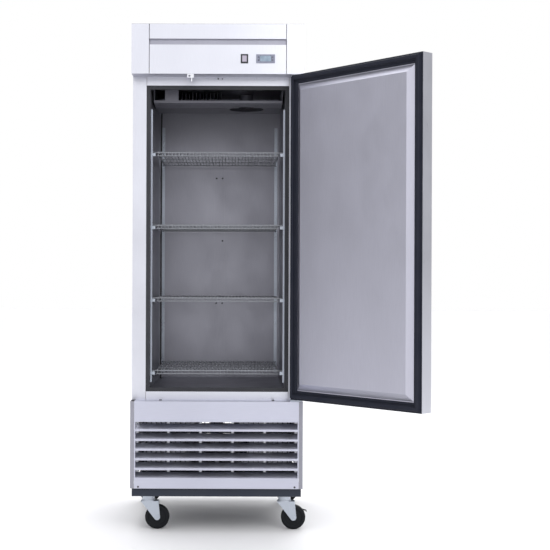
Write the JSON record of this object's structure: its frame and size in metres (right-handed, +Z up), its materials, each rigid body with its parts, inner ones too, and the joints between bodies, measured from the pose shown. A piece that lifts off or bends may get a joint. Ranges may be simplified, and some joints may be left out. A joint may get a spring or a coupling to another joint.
{
  "type": "reach-in refrigerator",
  "caption": "Upright steel reach-in refrigerator with a hinged insulated door, wire shelves, louvred machine housing and swivel casters.",
  "frame": {"origin": "on the floor under the middle of the cabinet", "axes": "+Z up, the cabinet front faces -Y, the door is hinged at +X"},
  "size_m": [1.1573, 1.318, 2.063],
  "materials": {
    "black_frame": "satin",
    "black_plastic": "matte",
    "bright_chrome": "polished",
    "button_plastic": "matte",
    "case_plastic": "matte",
    "cavity_steel": "satin",
    "coil_aluminium": "satin",
    "copper": "satin",
    "dark_screw": "satin",
    "display_glass": "gloss",
    "foam": "matte",
    "galvanised": "satin",
    "gasket_rubber": "matte",
    "grey_housing": "satin",
    "grille_paint": "satin",
    "header_dark": "satin",
    "hose_rubber": "matte",
    "housing_grey": "matte",
    "liner_steel": "satin",
    "outer_steel": "satin",
    "rocker_plastic": "satin",
    "shelf_coating": "satin",
    "wheel_rubber": "matte",
    "zinc_steel": "satin"
  },
  "bodies": {
    "cabinet": {"base_frame": "black_frame", "breaker_strips": "black_plastic", "caster_plates": "zinc_steel", "compressor": "black_frame", "condenser_coil": "black_frame", "control_panel": "outer_steel", "controller_case": "case_plastic", "display_lens": "display_glass", "drain_hose": "hose_rubber", "electrical_box": "galvanised", "evaporator_coil": "black_frame", "evaporator_housing": "housing_grey", "face_frame": "outer_steel", "fan_shroud": "galvanised", "foam_insulation": "foam", "grille_bars": "galvanised", "header_frame": "header_dark", "header_panel": "outer_steel", "header_posts": "outer_steel", "hinge_brackets": "zinc_steel", "inner_liner": "cavity_steel", "lock_catch": "bright_chrome", "louvred_grille": "grille_paint", "lower_housing": "grey_housing", "outer_back_and_top": "galvanised", "outer_side_panels": "outer_steel", "panel_screws": "dark_screw", "rear_vent_panel": "galvanised", "refrigerant_lines": "copper", "shelf_supports": "zinc_steel", "switch_bezel": "black_plastic"},
    "door": {"door_outer_pan": "outer_steel", "door_foam": "foam", "door_liner": "liner_steel", "door_gasket": "gasket_rubber", "door_handle_cup": "bright_chrome", "hinge_bushes_and_lock_body": "bright_chrome"},
    "lock_cylinder": {"lock_cylinder": "bright_chrome"},
    "rocker_switch": {"rocker_switch": "rocker_plastic"},
    "door_switch_plunger": {"door_switch_plunger": "black_plastic"},
    "condenser_fan": {"condenser_fan": "coil_aluminium"},
    "evaporator_fan": {"evaporator_fan": "black_plastic"},
    "control_button_1": {"control_button_1": "button_plastic"},
    "wire_shelf_1": {"wire_shelf_1": "shelf_coating"},
    "control_button_2": {"control_button_2": "button_plastic"},
    "wire_shelf_2": {"wire_shelf_2": "shelf_coating"},
    "control_button_3": {"control_button_3": "button_plastic"},
    "wire_shelf_3": {"wire_shelf_3": "shelf_coating"},
    "control_button_4": {"control_button_4": "button_plastic"},
    "wire_shelf_4": {"wire_shelf_4": "shelf_coating"},
    "caster_fork_front_left": {"caster_fork_front_left": "zinc_steel"},
    "caster_wheel_front_left": {"caster_wheel_front_left": "wheel_rubber"},
    "caster_fork_front_right": {"caster_fork_front_right": "zinc_steel"},
    "caster_wheel_front_right": {"caster_wheel_front_right": "wheel_rubber"},
    "brake_pedal_front_right": {"brake_pedal_front_right": "black_plastic"},
    "caster_fork_rear_left": {"caster_fork_rear_left": "zinc_steel"},
    "caster_wheel_rear_left": {"caster_wheel_rear_left": "wheel_rubber"},
    "caster_fork_rear_right": {"caster_fork_rear_right": "zinc_steel"},
    "caster_wheel_rear_right": {"caster_wheel_rear_right": "wheel_rubber"}
  },
  "joints": [
    {"name": "door_hinge", "type": "hinge", "parent": "cabinet", "child": "door", "pos_m": [0.334, -0.37, 0.54], "axis": [0, 0, 1], "range_deg": [-130.8, 4]},
    {"name": "lock_turn", "type": "hinge", "parent": "door", "child": "lock_cylinder", "pos_m": [0.75536, -0.8306, 1.4], "axis": [-0.757, -0.6534, 0], "range_deg": [-90, 0]},
    {"name": "switch_rock", "type": "hinge", "parent": "cabinet", "child": "rocker_switch", "pos_m": [0.1078, -0.398, 1.9215], "axis": [1, 0, 0], "range_deg": [-7, 7]},
    {"name": "plunger_press", "type": "slide", "parent": "cabinet", "child": "door_switch_plunger", "axis": [0, 1, 0], "range_m": [0, 0.004], "stiffness_N_per_m": 400, "springref_m": -0.002},
    {"name": "condenser_fan_spin", "type": "hinge", "parent": "cabinet", "child": "condenser_fan", "pos_m": [0, -0.293, 0.345], "axis": [0, 1, 0], "continuous": true},
    {"name": "evaporator_fan_spin", "type": "hinge", "parent": "cabinet", "child": "evaporator_fan", "pos_m": [0.12, -0.06, 1.774], "axis": [0, 0, 1], "continuous": true},
    {"name": "button_1_press", "type": "slide", "parent": "cabinet", "child": "control_button_1", "axis": [0, 1, 0], "range_m": [0, 0.0008], "stiffness_N_per_m": 500, "springref_m": -0.0005},
    {"name": "button_2_press", "type": "slide", "parent": "cabinet", "child": "control_button_2", "axis": [0, 1, 0], "range_m": [0, 0.0008], "stiffness_N_per_m": 500, "springref_m": -0.0005},
    {"name": "button_3_press", "type": "slide", "parent": "cabinet", "child": "control_button_3", "axis": [0, 1, 0], "range_m": [0, 0.0008], "stiffness_N_per_m": 500, "springref_m": -0.0005},
    {"name": "button_4_press", "type": "slide", "parent": "cabinet", "child": "control_button_4", "axis": [0, 1, 0], "range_m": [0, 0.0008], "stiffness_N_per_m": 500, "springref_m": -0.0005},
    {"name": "shelf_1_lift", "type": "slide", "parent": "cabinet", "child": "wire_shelf_1", "axis": [0, 0, 1], "range_m": [0, 0.015]},
    {"name": "shelf_2_lift", "type": "slide", "parent": "cabinet", "child": "wire_shelf_2", "axis": [0, 0, 1], "range_m": [0, 0.015]},
    {"name": "shelf_3_lift", "type": "slide", "parent": "cabinet", "child": "wire_shelf_3", "axis": [0, 0, 1], "range_m": [0, 0.015]},
    {"name": "shelf_4_lift", "type": "slide", "parent": "cabinet", "child": "wire_shelf_4", "axis": [0, 0, 1], "range_m": [0, 0.015]},
    {"name": "swivel_front_left", "type": "hinge", "parent": "cabinet", "child": "caster_fork_front_left", "pos_m": [-0.28, -0.31, 0.12], "axis": [0, 0, 1], "continuous": true},
    {"name": "roll_front_left", "type": "hinge", "parent": "caster_fork_front_left", "child": "caster_wheel_front_left", "pos_m": [-0.244, -0.31, 0.05], "axis": [0, 1, 0], "continuous": true},
    {"name": "swivel_front_right", "type": "hinge", "parent": "cabinet", "child": "caster_fork_front_right", "pos_m": [0.28, -0.31, 0.12], "axis": [0, 0, 1], "continuous": true},
    {"name": "roll_front_right", "type": "hinge", "parent": "caster_fork_front_right", "child": "caster_wheel_front_right", "pos_m": [0.316, -0.31, 0.05], "axis": [0, 1, 0], "continuous": true},
    {"name": "pedal_front_right", "type": "hinge", "parent": "caster_fork_front_right", "child": "brake_pedal_front_right", "pos_m": [0.322, -0.31, 0.082], "axis": [0, 1, 0], "range_deg": [0, 10]},
    {"name": "swivel_rear_left", "type": "hinge", "parent": "cabinet", "child": "caster_fork_rear_left", "pos_m": [-0.28, 0.31, 0.12], "axis": [0, 0, 1], "continuous": true},
    {"name": "roll_rear_left", "type": "hinge", "parent": "caster_fork_rear_left", "child": "caster_wheel_rear_left", "pos_m": [-0.316, 0.31, 0.05], "axis": [0, 1, 0], "continuous": true},
    {"name": "swivel_rear_right", "type": "hinge", "parent": "cabinet", "child": "caster_fork_rear_right", "pos_m": [0.28, 0.31, 0.12], "axis": [0, 0, 1], "continuous": true},
    {"name": "roll_rear_right", "type": "hinge", "parent": "caster_fork_rear_right", "child": "caster_wheel_rear_right", "pos_m": [0.316, 0.31, 0.05], "axis": [0, 1, 0], "continuous": true}
  ]
}
